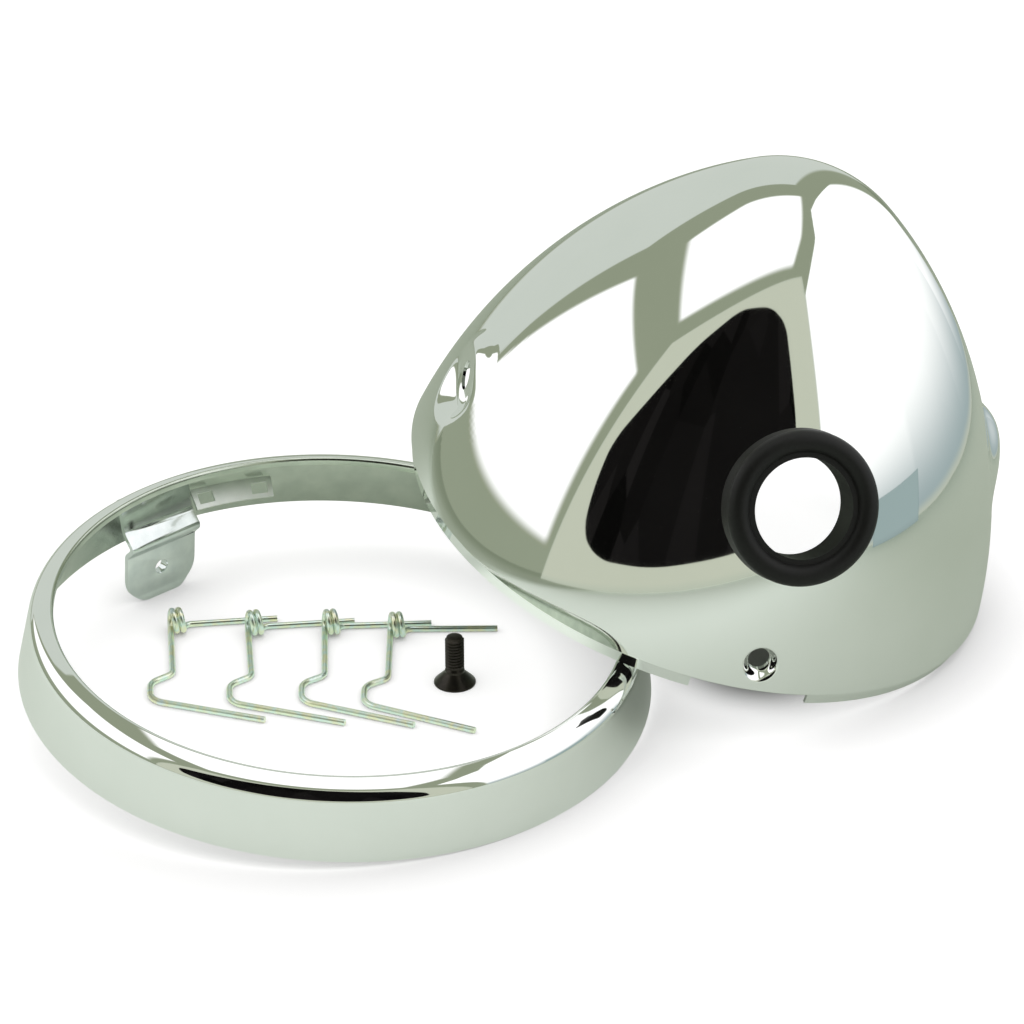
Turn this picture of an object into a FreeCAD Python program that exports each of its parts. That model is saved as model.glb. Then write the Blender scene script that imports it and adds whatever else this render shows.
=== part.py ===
import FreeCAD
import Part
import math
import os

# Motorbike headlight housing laid out for fitting: a drawn dome shell with its cable grommet leans on
# its rim, and the four wire clips and the screw that belong to the rim lie on the floor inside it.
# Millimetres, +Z up, floor at z = 0, origin under the middle of the whole layout.

# Shell
housing_radius = 95.0
shell_wall = 1.0
mouth_draft = 9.8
side_arc_radius = 176.0
nose_radius = 44.0
lip_height = 4.0
lip_shoulder = 1.2
lip_clearance = 0.5
lip_gap = 37.0

# Side mounting pads
pad_height = 31.0
pad_inset = 10.0
pad_radius = 18.5
pad_flare = 0.2
pad_depth = 11.0
mount_hole = 9.0

# Screw hole in a pressed dimple
screw_offset = 8.5
dimple_width = 11.0
dimple_depth = 3.0

# Cable grommet
grommet_height = 53.7
grommet_width = 46.0
grommet_bore = 29.5
grommet_hole = 36.0
grommet_rise = 5.6
grommet_inner_width = 42.0
grommet_reach = 7.5
grommet_step = 1.5
grommet_edge = 0.4

# Rim
rim_sheet = 0.9
rim_height = 22.5
crease_height = 19.9
crease_inset = 3.6
crease_roll = 5.5
opening_inset = 10.6
opening_lip = 3.0
opening_roll = 1.2

# Sloping tabs inside the rim's wall, each with two windows for a clip
tab_count = 4
tab_start = -18.5
tab_span = 17.4
tab_height = 10.7
tab_reach = 4.9
tab_drop = 4.2
window_spacing = 11.8
window_width = 5.3
window_length = 3.8
window_inset = 1.2

# Screw bracket inside the rim
bracket_sheet = 1.6
bracket_width = 27.0
bracket_inset = 9.8
bracket_bend_height = 4.0
bracket_lean = 4.6
bracket_drop = 18.5
bracket_bend = 2.4
bracket_corner = 9.0
collar_width = 8.6
collar_depth = 1.8

# Countersunk socket screw
screw_thread = 6.0
screw_clearance = 0.6
screw_tap_drill = 5.0
screw_length = 16.0
screw_head = 12.8
screw_land = 0.5
screw_socket = 4.0
screw_socket_depth = 2.3
screw_chamfer = 0.8

# Wire clips
clip_wire = 1.9
clip_wire_sides = 8
clip_coil_radius = 3.2
clip_coil_turns = 2
clip_coil_gap = 0.15
clip_arm = 27.0
clip_arm_bend = 2.6
clip_leg = 24.0
clip_leg_angle = -93.0
clip_jog = (-6.0, -7.6)
clip_hook = (-0.4, -7.6)
clip_hook_bend = 3.2
clip_jog_bend = 2.6
clip_foot = 37.0
clip_foot_angle = -28.0

# Layout: places are measured from the middle of the rim, the shell's in housing radii
rim_turn = 134.5
shell_place = (1.1832, 0.6874)
shell_spin = 7.5
lean_axis_angle = 65.7
lean_limits = (8.0, 30.0)
rest_clearance = 0.05
clip_places = ((-54.8, 35.6, 10.6), (-30.3, 34.3, 10.0), (-6.3, 34.9, 6.5), (14.4, 33.2, 3.8))
screw_place = (35.2, 5.2)

# Derived sizes
pad_face = housing_radius - pad_inset
crease_radius = housing_radius - crease_inset
opening_radius = housing_radius - opening_inset
bracket_radius = housing_radius - bracket_inset
lip_radius = housing_radius - rim_sheet - lip_clearance
screw_hole_radius = (screw_thread + screw_clearance) / 2
draft = math.radians(mouth_draft)
side_centre_r = housing_radius - side_arc_radius * math.cos(draft)
side_centre_z = -side_arc_radius * math.sin(draft)
nose_centre_z = side_centre_z + math.sqrt((side_arc_radius - nose_radius) ** 2 - side_centre_r ** 2)
tangent_angle = math.atan2(nose_centre_z - side_centre_z, -side_centre_r)
rim_tilt = math.degrees(math.atan2(bracket_drop, housing_radius + bracket_radius))

ORIGIN = FreeCAD.Vector(0, 0, 0)
X_AXIS = FreeCAD.Vector(1, 0, 0)
Y_AXIS = FreeCAD.Vector(0, 1, 0)
Z_AXIS = FreeCAD.Vector(0, 0, 1)


def at(r, z):
    """Point in the profile plane, r out from the axis and z along it."""
    return FreeCAD.Vector(r, 0, z)


def arc(start, middle, end):
    return Part.Arc(start, middle, end).toShape()


def polygon_face(points):
    return Part.Face(Part.makePolygon(points + [points[0]]))


def revolve(face, angle=360):
    return face.revolve(ORIGIN, Z_AXIS, angle)


def rounded_path(points, bends):
    """Straight edges through the points with an arc of the given radius at each inner point."""
    edges = []
    start = points[0]
    for before, corner, after, bend in zip(points, points[1:], points[2:], bends):
        back = (before - corner).normalize()
        ahead = (after - corner).normalize()
        half = back.getAngle(ahead) / 2
        trim = bend / math.tan(half)
        first = corner + back * trim
        last = corner + ahead * trim
        middle = corner + (back + ahead).normalize() * (bend / math.sin(half) - bend)
        edges.append(Part.makeLine(start, first))
        edges.append(arc(first, middle, last))
        start = last
    edges.append(Part.makeLine(start, points[-1]))
    return edges


def side_point(angle, inset):
    reach = side_arc_radius - inset
    return at(side_centre_r + reach * math.cos(angle), side_centre_z + reach * math.sin(angle))


def side_angle(z, inset=0.0):
    return math.asin((z - side_centre_z) / (side_arc_radius - inset))


def nose_point(angle, inset):
    reach = nose_radius - inset
    return at(reach * math.cos(angle), nose_centre_z + reach * math.sin(angle))


def dome(inset, base):
    """Dome filled solid, its surface moved in by inset, cut off flat at the base height."""
    start = side_angle(base, inset)
    top = math.pi / 2
    foot = side_point(start, inset)
    shoulder = side_point(tangent_angle, inset)
    apex = nose_point(top, inset)
    edges = [
        arc(foot, side_point((start + tangent_angle) / 2, inset), shoulder),
        arc(shoulder, nose_point((tangent_angle + top) / 2, inset), apex),
        Part.makeLine(apex, at(0, base)),
        Part.makeLine(at(0, base), foot),
    ]
    return revolve(Part.Face(Part.Wire(edges)))


def side_cone(side, start, radius_start, radius_end):
    """Round cone on the cross axis at pad height, pointing outward to the given side."""
    base = FreeCAD.Vector(side * start, 0, pad_height)
    return Part.makeCone(radius_start, radius_end, pad_depth, base, X_AXIS * side)


def pressed_pads(body, inset):
    """Body with both flat pads pressed in it: raised towards the nose, sunk towards the mouth."""
    face = pad_face - inset
    spread = pad_flare * pad_depth
    for side in (-1, 1):
        body = body.fuse(side_cone(side, face - pad_depth, pad_radius + spread - inset, pad_radius - inset))
        body = body.cut(side_cone(side, face, pad_radius + inset, pad_radius + spread + inset))
    return body


def dimple_cone(inset):
    """Cone of the screw dimple, pressed in from the front of the wall, moved in by inset."""
    wall = side_point(side_angle(screw_offset), 0).x
    slope = (dimple_width / 2 - screw_hole_radius) / dimple_depth
    lead = dimple_depth / 2
    start = FreeCAD.Vector(0, -wall - lead, screw_offset)
    wide = dimple_width / 2 + slope * lead + inset
    narrow = screw_hole_radius - slope * inset + inset
    return Part.makeCone(wide, narrow, lead + dimple_depth + inset, start, Y_AXIS)


def grommet_seat():
    """Place and outward direction of the grommet hole on the dome."""
    rise = side_angle(grommet_height)
    seat = side_point(rise, 0)
    out = FreeCAD.Vector(0, -math.cos(rise), math.sin(rise))
    return FreeCAD.Vector(0, -seat.x, seat.z), out


def make_shell():
    outside = pressed_pads(dome(0, 0), 0).cut(dimple_cone(0))
    outside = outside.fuse(Part.makeCylinder(lip_radius, lip_height, at(0, -lip_height)))
    cavity = pressed_pads(dome(shell_wall, lip_shoulder), shell_wall).cut(dimple_cone(shell_wall))
    mouth = Part.makeCylinder(lip_radius - shell_wall, lip_height + lip_shoulder, at(0, -lip_height))
    shell = outside.cut(cavity).cut(mouth)
    gap_corner = FreeCAD.Vector(-lip_gap / 2, -housing_radius, -lip_height)
    shell = shell.cut(Part.makeBox(lip_gap, housing_radius / 2, lip_height, gap_corner))
    screw_start = FreeCAD.Vector(0, -housing_radius, screw_offset)
    shell = shell.cut(Part.makeCylinder(screw_hole_radius, housing_radius / 4, screw_start, Y_AXIS))
    mount_start = FreeCAD.Vector(-housing_radius, 0, pad_height)
    shell = shell.cut(Part.makeCylinder(mount_hole / 2, 2 * housing_radius, mount_start, X_AXIS))
    seat, out = grommet_seat()
    depth = grommet_width / 2
    return shell.cut(Part.makeCylinder(grommet_hole / 2, 2 * depth, seat - out * depth, out))


def make_grommet():
    """Rubber ring gripping the hole's edge, its flanges following the dome inside and out."""
    hole = grommet_hole / 2
    bore = grommet_bore / 2
    outer = grommet_width / 2
    step = bore + grommet_step
    step_rise = grommet_rise * 0.6
    below = -grommet_rise
    rim_edge = at(outer - grommet_edge, grommet_rise * 0.3)
    edges = [
        Part.makeLine(at(bore, below), at(bore, step_rise)),
        Part.makeLine(at(bore, step_rise), at(step, step_rise)),
        arc(at(step, step_rise), at((step + outer) / 2, grommet_rise), rim_edge),
        Part.makeLine(rim_edge, at(outer, below)),
        Part.makeLine(at(outer, below), at(bore, below)),
    ]
    flange = revolve(Part.Face(Part.Wire(edges)))
    inner = Part.makeCylinder(grommet_inner_width / 2, grommet_reach, at(0, -grommet_reach))
    sleeve = Part.makeCylinder(hole, grommet_reach + step_rise / 2, at(0, -grommet_reach))
    drill = Part.makeCylinder(bore, 4 * grommet_reach, at(0, -2 * grommet_reach))
    seat, out = grommet_seat()
    turn = FreeCAD.Rotation(Z_AXIS, out)
    placed = []
    for body in (flange, inner, sleeve, drill):
        body.Placement = FreeCAD.Placement(seat, turn)
        placed.append(body)
    flange, inner, sleeve, drill = placed
    flange = flange.cut(dome(0, 0))
    inner = inner.common(dome(shell_wall, lip_shoulder))
    return flange.fuse([inner, sleeve]).cut(drill).removeSplitter()


def rim_surface(inset):
    """Corner points of the rim's sheet from the rear edge to the end of the turned-in lip."""
    wall = math.atan2(housing_radius - crease_radius, crease_height)
    bevel = math.atan2(rim_height - crease_height, crease_radius - opening_radius)
    shift_wall = inset / math.cos(wall)
    shift_bevel = inset / math.cos(bevel)
    slope_wall = math.tan(wall)
    slope_bevel = math.tan(bevel)
    rear = housing_radius - shift_wall
    crease_r = (rear - (crease_height - shift_bevel + slope_bevel * crease_radius) * slope_wall)
    crease_r = crease_r / (1 - slope_bevel * slope_wall)
    crease_z = crease_height - shift_bevel + slope_bevel * (crease_radius - crease_r)
    inner = opening_radius + inset
    inner_z = rim_height - shift_bevel - slope_bevel * inset
    return [at(rear, 0), at(crease_r, crease_z), at(inner, inner_z), at(inner, rim_height - opening_lip)]


def rim_inside():
    """Space inside the rim, reaching well behind its rear edge."""
    rear, crease, opening, lip = rim_surface(rim_sheet)
    below = -2 * bracket_drop
    edges = rounded_path([rear, crease, opening], (crease_roll - rim_sheet,))
    back = Part.makePolygon([opening, at(0, opening.z), at(0, below), at(rear.x, below), rear])
    return revolve(Part.Face(Part.Wire(edges + back.Edges)))


def clip_tab():
    """One tab: it leaves the wall inward, slopes down to the rear and has two windows."""
    rear, crease, opening, lip = rim_surface(rim_sheet)
    root = rear + (crease - rear) * (tab_height / crease.z)
    way = at(-tab_reach, -tab_drop).normalize()
    up = at(way.z, -way.x) * rim_sheet
    start = root - way * (0.8 * rim_sheet)
    tip = root + at(-tab_reach, -tab_drop)
    tab = revolve(polygon_face([start, tip, tip + up, start + up]), tab_span)
    tab.rotate(ORIGIN, Z_AXIS, -tab_span / 2)
    near = root + way * window_inset - up
    far = near + way * window_length
    for side in (-1, 1):
        window = polygon_face([near, far, far + up * 3, near + up * 3]).extrude(Y_AXIS * window_width)
        window.translate(Y_AXIS * (-window_width / 2))
        window.rotate(ORIGIN, Z_AXIS, side * window_spacing / 2)
        tab = tab.cut(window)
    return tab


def make_rim():
    outside = rim_surface(0)
    inside = rim_surface(rim_sheet)[::-1]
    edges = rounded_path(outside, (crease_roll, opening_roll))
    edges.append(Part.makeLine(outside[-1], inside[0]))
    edges.extend(rounded_path(inside, (opening_roll - rim_sheet, crease_roll - rim_sheet)))
    edges.append(Part.makeLine(inside[-1], outside[0]))
    rim = revolve(Part.Face(Part.Wire(edges)))
    tabs = []
    for number in range(tab_count):
        tab = clip_tab()
        tab.rotate(ORIGIN, Z_AXIS, tab_start + number * 360 / tab_count)
        tabs.append(tab)
    return rim.fuse(tabs).removeSplitter()


def edge_at(solid, x, y, z):
    """Edge whose middle lies nearest to the point."""
    point = FreeCAD.Vector(x, y, z)
    return min(solid.Edges, key=lambda edge: edge.CenterOfMass.distanceToPoint(point))


def make_bracket():
    """Bent strip: a sloping leg joined to the rim under its bevel, and a hanging tab for the screw."""
    front = bracket_radius
    back = bracket_radius + bracket_sheet
    slope = bracket_lean / (crease_height - bracket_bend_height)
    reach = rim_height - bracket_bend_height
    points = [
        at(front, -bracket_drop),
        at(front, bracket_bend_height),
        at(front + slope * reach, rim_height),
        at(back + slope * reach, rim_height),
        at(back, bracket_bend_height - slope * bracket_sheet / 2),
        at(back, -bracket_drop),
    ]
    strip = polygon_face(points).extrude(Y_AXIS * bracket_width)
    strip.translate(Y_AXIS * (-bracket_width / 2))
    strip = strip.makeFillet(bracket_bend, [edge_at(strip, front, 0, bracket_bend_height)])
    middle = (front + back) / 2
    side = bracket_width / 2
    corners = [edge_at(strip, middle, -side, -bracket_drop), edge_at(strip, middle, side, -bracket_drop)]
    strip = strip.makeFillet(bracket_corner, corners)
    strip = strip.common(rim_inside())
    thread_place = FreeCAD.Vector(back - bracket_sheet / 2, 0, -screw_offset)
    collar = Part.makeCylinder(collar_width / 2, collar_depth + bracket_sheet / 2, thread_place, X_AXIS)
    drill_start = FreeCAD.Vector(front - bracket_sheet, 0, -screw_offset)
    drill = Part.makeCylinder(screw_tap_drill / 2, 2 * collar_width, drill_start, X_AXIS)
    return strip.fuse(collar).cut(drill).removeSplitter()


def make_screw():
    """Countersunk screw standing on its head."""
    shank = screw_thread / 2
    head = screw_head / 2
    neck = screw_land + head - shank
    points = [
        at(0, 0),
        at(head, 0),
        at(head, screw_land),
        at(shank, neck),
        at(shank, screw_length - screw_chamfer),
        at(shank - screw_chamfer, screw_length),
        at(0, screw_length),
    ]
    screw = revolve(polygon_face(points))
    corner = screw_socket / math.sqrt(3)
    hexagon = []
    for number in range(6):
        angle = math.radians(60 * number)
        hexagon.append(FreeCAD.Vector(corner * math.cos(angle), corner * math.sin(angle), 0))
    return screw.cut(polygon_face(hexagon).extrude(Z_AXIS * screw_socket_depth))


def wire_section(centre, way):
    """Cross-section of the clip wire, flat side down: a polygon keeps the repeated clips light."""
    side = FreeCAD.Vector(-way.y, way.x, 0)
    corner = clip_wire / 2 / math.cos(math.pi / clip_wire_sides)
    points = []
    for number in range(clip_wire_sides):
        angle = 2 * math.pi * (number + 0.5) / clip_wire_sides
        points.append(centre + side * (corner * math.cos(angle)) + Z_AXIS * (corner * math.sin(angle)))
    return Part.makePolygon(points + [points[0]])


def make_clip():
    """One bent wire: foot, hook, jog and leg on the floor, an upright coil at the corner, then the arm."""
    lift = FreeCAD.Vector(0, 0, clip_wire / 2)
    leg_angle = math.radians(clip_leg_angle)
    leg_way = FreeCAD.Vector(math.cos(leg_angle), math.sin(leg_angle), 0)
    jog_start = lift + leg_way * clip_leg
    jog_end = jog_start + FreeCAD.Vector(clip_jog[0], clip_jog[1], 0)
    hook = jog_end + FreeCAD.Vector(clip_hook[0], clip_hook[1], 0)
    foot_angle = math.radians(clip_foot_angle)
    foot_way = FreeCAD.Vector(math.cos(foot_angle), math.sin(foot_angle), 0)
    foot_end = hook + foot_way * clip_foot
    bends = (clip_hook_bend, clip_jog_bend, clip_jog_bend)
    edges = rounded_path([foot_end, hook, jog_end, jog_start, lift], bends)
    pitch = clip_wire + clip_coil_gap
    climb = math.degrees(math.atan2(pitch, 2 * math.pi * clip_coil_radius))
    coil = Part.makeHelix(pitch, clip_coil_turns * pitch, clip_coil_radius)
    coil.rotate(ORIGIN, Y_AXIS, 90)
    coil.rotate(ORIGIN, Z_AXIS, climb + 90 + clip_leg_angle)
    coil.translate(lift + FreeCAD.Vector(0, 0, clip_coil_radius))
    edges.extend(coil.Edges)
    coil_end = coil.Edges[-1].lastVertex().Point
    way = leg_way * -1
    turn = FreeCAD.Vector(way.y, -way.x, 0)
    corner = coil_end + way * clip_arm_bend
    arm_start = corner + turn * clip_arm_bend
    middle = coil_end + turn * clip_arm_bend + (way - turn).normalize() * clip_arm_bend
    edges.append(arc(coil_end, middle, arm_start))
    edges.append(Part.makeLine(arm_start, arm_start + turn * clip_arm))
    return Part.Wire(edges).makePipeShell([wire_section(foot_end, foot_way)], True, False)


def place_on_rim(shape):
    """Rim resting on its bracket's tab and on the rear edge across from it."""
    placed = shape.copy()
    placed.rotate(ORIGIN, Y_AXIS * -1, rim_tilt)
    placed.rotate(ORIGIN, Z_AXIS, rim_turn)
    placed.translate(Z_AXIS * housing_radius * math.sin(math.radians(rim_tilt)))
    return placed


def lean(shape, angle):
    """Shell standing on the low edge of its lip, leaned over by the angle."""
    placed = shape.copy()
    axis_angle = math.radians(lean_axis_angle)
    placed.rotate(ORIGIN, Z_AXIS, shell_spin)
    placed.rotate(ORIGIN, FreeCAD.Vector(math.cos(axis_angle), math.sin(axis_angle), 0), angle)
    tilt = math.radians(angle)
    height = lip_radius * math.sin(tilt) + lip_height * math.cos(tilt)
    place = FreeCAD.Vector(shell_place[0], shell_place[1], 0) * housing_radius
    placed.translate(place + Z_AXIS * height)
    return placed


def resting_lean(rim):
    """Lean at which the shell's lip comes down on the rim."""
    ring = Part.makeCylinder(lip_radius, lip_height, at(0, -lip_height))
    ring = ring.cut(Part.makeCylinder(lip_radius - shell_wall, lip_height, at(0, -lip_height)))
    low, high = lean_limits
    while high - low > 0.002:
        angle = (low + high) / 2
        if lean(ring, angle).distToShape(rim)[0] > rest_clearance:
            high = angle
        else:
            low = angle
    return high


def lay_down(shape, x, y, turn):
    placed = shape.copy()
    placed.rotate(ORIGIN, Z_AXIS, turn)
    placed.translate(FreeCAD.Vector(x, y, 0))
    return placed


rim = place_on_rim(make_rim())
shell_lean = resting_lean(rim)
nodes = {
    "headlight_shell": lean(make_shell(), shell_lean),
    "cable_grommet": lean(make_grommet(), shell_lean),
    "rim": rim,
    "rim_bracket": place_on_rim(make_bracket()),
    "rim_screw": lay_down(make_screw(), screw_place[0], screw_place[1], 0),
}
for number, (x, y, turn) in enumerate(clip_places, 1):
    nodes["rim_clip_%d" % number] = lay_down(make_clip(), x, y, turn)

box = Part.makeCompound(list(nodes.values())).optimalBoundingBox()
os.makedirs("parts", exist_ok=True)
for name, shape in nodes.items():
    shape.translate(FreeCAD.Vector(-box.Center.x, -box.Center.y, 0))
    shape.exportStep("parts/%s.step" % name)
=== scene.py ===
import bpy
import math
from mathutils import Matrix, Vector


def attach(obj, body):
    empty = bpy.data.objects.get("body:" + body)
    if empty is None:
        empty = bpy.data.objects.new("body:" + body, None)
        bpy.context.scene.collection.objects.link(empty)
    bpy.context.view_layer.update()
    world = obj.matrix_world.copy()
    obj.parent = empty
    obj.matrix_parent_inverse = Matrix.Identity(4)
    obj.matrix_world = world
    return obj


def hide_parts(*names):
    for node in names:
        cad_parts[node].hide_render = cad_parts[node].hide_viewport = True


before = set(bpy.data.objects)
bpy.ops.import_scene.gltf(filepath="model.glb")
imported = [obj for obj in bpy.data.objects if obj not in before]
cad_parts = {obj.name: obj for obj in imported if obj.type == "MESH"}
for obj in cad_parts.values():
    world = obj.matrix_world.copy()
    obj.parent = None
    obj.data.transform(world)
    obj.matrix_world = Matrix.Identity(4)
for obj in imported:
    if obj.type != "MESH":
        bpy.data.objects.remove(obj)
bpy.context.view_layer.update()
MM = 0.001
FULL = 2 * math.pi
SIDEWAYS = (0, math.pi / 2, 0)

# Modelling: the way a spin turns about the upright axis, and lengths in millimetres from here on
SPIN_WAY = -1
SEAM_GAP = 0.002
DRILL_SIDES = 96

# Shell
HOUSING_RADIUS = 95.0
LIP_RADIUS = 93.6
LIP_HEIGHT = 4.0
LIP_GAP = 37.0
LIP_EASE = 0.4
LIP_TOP = -0.2
MOUTH_EASE = 0.25
MOUTH_EASE_ANGLE = 0.0015
WALL = 1.0
WALL_DRILL = 30.0
DRAFT = math.radians(9.8)
SIDE_ARC = 176.0
SIDE_STEPS = 78
NOSE_ARC = 44.0
NOSE_STEPS = 20
SHELL_STEPS = 288
PAD_HEIGHT = 31.0
PAD_MARGIN = 3.0
PAD_CUTS = 2
LEFT_PAD_FACE = 86.0
LEFT_PAD_RADIUS = 9.0
LEFT_PAD_BLEND = 7.0
RIGHT_PAD_FACE = 84.8
RIGHT_PAD_RADIUS = 15.5
RIGHT_PAD_BLEND = 8.5
MOUNT_HOLE = 9.0
MOUNT_DRILL = 300.0
SCREW_OFFSET = 8.5
SCREW_HOLE = 6.6
DIMPLE_DEPTH = 3.0
DIMPLE_WIDTH = 11.0
DIMPLE_OVERLAP = 0.2
DIMPLE_MARGIN = 2.0
DIMPLE_CUTS = 5
GROMMET_HEIGHT = 53.7
GROMMET_HOLE = 36.0

# Rim and its tabs
RIM_SHEET = 0.9
RIM_HEIGHT = 22.5
RIM_STEPS = 360
CREASE_HEIGHT = 19.9
CREASE_INSET = 3.6
CREASE_ROLL = 5.5
OPENING_INSET = 10.6
OPENING_LIP = 3.0
OPENING_ROLL = 1.2
OUTER_ROLL_STEPS = 12
INNER_ROLL_STEPS = 6
INNER_LEAN = -0.3
REAR_LEAN = -0.5
TAB_COUNT = 4
TAB_START = -18.5
TAB_SPAN = 17.4
TAB_STEPS = 24
TAB_HEIGHT = 10.7
TAB_REACH = 4.9
TAB_DROP = 4.2
TAB_ROOT = 0.8 * RIM_SHEET
WINDOW_SPACING = 11.8
WINDOW_WIDTH = 5.3
WINDOW_LENGTH = 3.8
WINDOW_INSET = 1.2
WINDOW_CUT = 3 * RIM_SHEET

# Bracket: its side profile runs outward from its front face and up from the rim's rear edge
BRACKET_SHEET = 1.6
BRACKET_WIDTH = 27.0
BRACKET_FRONT = 85.2
BRACKET_DROP = 18.5
BRACKET_CURL = 2.2
BRACKET_RIDGE = 3.4
BRACKET_PROFILE = (
    (-0.9, -BRACKET_DROP),
    (0, BRACKET_CURL - BRACKET_DROP),
    (0, -0.6),
    (-BRACKET_RIDGE, 3.4),
    (1.4, 8.0),
    (4.3, 19.0),
)
BRACKET_ROLLS = (2.0, 1.4, 2.0, 4.0)
BRACKET_ROLL_STEPS = 8
BRACKET_CORNER = 9.0
BRACKET_CORNER_STEPS = 10
BRACKET_EASE = 0.4
BRACKET_DRILL = 20.0
TRIM_TOP = 30.0
TRIM_LEAD = 8.0
TRIM_DEPTH = 20.0
TRIM_PLAY = 0.02
COLLAR_WIDTH = 8.6
COLLAR_DEPTH = 1.8
COLLAR_PLAY = 0.1
COLLAR_SIDES = 48

# Countersunk screw
SCREW_THREAD = 6.0
SCREW_PITCH = 1.0
SCREW_LENGTH = 16.0
SCREW_STEPS = 64
SCREW_HEAD = 12.8
SCREW_LAND = 0.5
SCREW_NECK = 0.8
SCREW_UNDERCUT = 0.6
SCREW_TIP_WIDTH = 0.3
SCREW_TIP_HEIGHT = 0.1
SCREW_KEY = 4.0
SCREW_KEY_DEPTH = 2.3
SCREW_EASE = 0.15
SCREW_TAP_DRILL = 5.0
THREAD_DEPTH = 0.55 * SCREW_PITCH
THREAD_START = 1.0
THREAD_END = 0.6
THREAD_ROOT = 0.1
THREAD_EASE = 0.06
THREAD_CREST = (0.44, 0.56)
THREAD_STEPS = 40

# Wire clips
CLIP_WIRE = 1.9
CLIP_WIRE_STEPS = 4
CLIP_COIL = 3.2
CLIP_COIL_TURNS = 2
CLIP_COIL_STEPS = 64
CLIP_PITCH = 2.05
CLIP_LEG = 24.0
CLIP_LEG_ANGLE = math.radians(-93)
CLIP_JOG = Vector((-7.2, -4.0, 0))
CLIP_HOOK = Vector((-0.6, -10.4, 0))
CLIP_HOOK_ROLL = 6.4
CLIP_CORNER_ROLL = 5.2
CLIP_JOG_ROLL = 3.4
CLIP_ROLL_STEPS = 10
CLIP_FOOT = 37.0
CLIP_FOOT_ANGLE = math.radians(-28)
CLIP_ARM = 27.0
CLIP_ARM_BEND = 2.6
CLIP_ARM_STEPS = 8

# Where the shell and the rim stand, and where the loose pieces lie, measured from the middle of the rim
SHELL_PLACE = Vector((56.036, 32.881, 31.606)) * MM
SHELL_SPIN = math.radians(7.5)
SHELL_LEAN = math.radians(17.2692)
LEAN_AXIS = Vector((math.cos(math.radians(65.7)), math.sin(math.radians(65.7)), 0))
RIM_PLACE = Vector((-56.368, -32.422, 9.702)) * MM
RIM_TURN = math.radians(134.5)
RIM_TILT = math.radians(5.8617)
CLIP_PLACES = ((-54.8, 35.6, 10.6), (-30.3, 34.3, 10.0), (-6.3, 34.9, 6.5), (14.4, 33.2, 3.8))
SCREW_PLACE = (35.2, 5.2)

shell_matrix = Matrix.Translation(SHELL_PLACE) @ Matrix.Rotation(SHELL_LEAN, 4, LEAN_AXIS)
shell_matrix = shell_matrix @ Matrix.Rotation(SHELL_SPIN, 4, "Z")
rim_matrix = Matrix.Translation(RIM_PLACE) @ Matrix.Rotation(RIM_TURN, 4, "Z")
rim_matrix = rim_matrix @ Matrix.Rotation(-RIM_TILT, 4, "Y")

# Colours of the finishes
CHROME_COLOURS = ((0.90, 0.92, 0.90, 1), (0.95, 0.96, 0.95, 1))
CHROME_GLOSS = (0.015, 0.05)
RUBBER_COLOURS = ((0.004, 0.004, 0.004, 1), (0.010, 0.010, 0.0095, 1))
OXIDE_COLOURS = ((0.012, 0.011, 0.010, 1), (0.060, 0.050, 0.040, 1))
# Rim's inner plating: satin metal, its darker colour painted shade inside the rim and under its tabs
INNER_SHADE_PLATING_COLOURS = ((0.55, 0.60, 0.53, 1), (0.66, 0.71, 0.63, 1))
SATIN_COLOURS = ((0.78, 0.82, 0.78, 1), (0.90, 0.93, 0.90, 1))
BRACKET_COLOURS = ((0.68, 0.73, 0.73, 1), (0.84, 0.88, 0.87, 1))
CLIP_COLOURS = (
    (0.76, 0.94, 0.86, 1),
    (0.92, 0.96, 0.76, 1),
    (0.80, 0.95, 0.92, 1),
    (0.95, 0.93, 0.68, 1),
    (0.80, 0.90, 0.96, 1),
)
ZINC_SPAN = (0.3, 0.7)

# Studio screens, in metres: the point each is measured from, its distance and its corners there
SOFTBOX_REACH = 0.8
LEFT_ORIGIN = Vector((0.02, -0.01, 0.09))
LEFT_CORNERS = ((0.85, 0.14), (-0.63, 0.05), (-0.64, 1.15), (0.50, 1.22))
TOP_ORIGIN = Vector((0.065, -0.005, 0.135))
TOP_CORNERS = ((-0.63, -0.40), (0.29, -0.46), (0.29, 0.48), (-0.63, 0.38))
BACK_REACH = 0.9
BACK_ORIGIN = Vector((0.07, 0.02, 0.13))
BACK_CORNERS = ((-1.3, -0.14), (0.36, -0.14), (0.33, 1.38), (-1.2, 1.4))
RIGHT_PLAN = (
    (0.41, -0.42, 0.80),
    (0.43, -0.20, 0.92),
    (0.43, -0.05, 1.02),
    (0.41, 0.08, 1.03),
    (0.37, 0.17, 0.95),
    (0.31, 0.25, 0.68),
    (0.25, 0.31, 0.36),
)
CARD_DISTANCE = 0.405
CARD_CORNERS = ((-0.20, 0), (-0.055, 0), (-0.045, 0.055), (-0.19, 0.062))
FRONT_ORIGIN = Vector((0.05, -1.1, 0.08))
FRONT_SETBACK = 0.02
FRONT_CORNERS = ((-1.78, -0.08), (1.1, -0.08), (0.9, 2.3), (-1.42, 2.3))
OPENING_OUTLINE = (
    (-1.20, 0.25),
    (-0.90, 0.09),
    (-0.40, 0.035),
    (0.13, 0.04),
    (0.60, 0.07),
    (0.64, 0.55),
    (0.60, 0.91),
    (0.52, 1.46),
    (0.27, 1.78),
    (-0.25, 2.02),
    (-0.72, 1.75),
    (-1.10, 1.26),
    (-1.36, 0.97),
    (-1.30, 0.55),
)
OPENING_ROUND = 0.14
OPENING_STEPS = 5
FLOOR_SIZE = 12
FOOT_SHARE = 0.17

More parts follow.
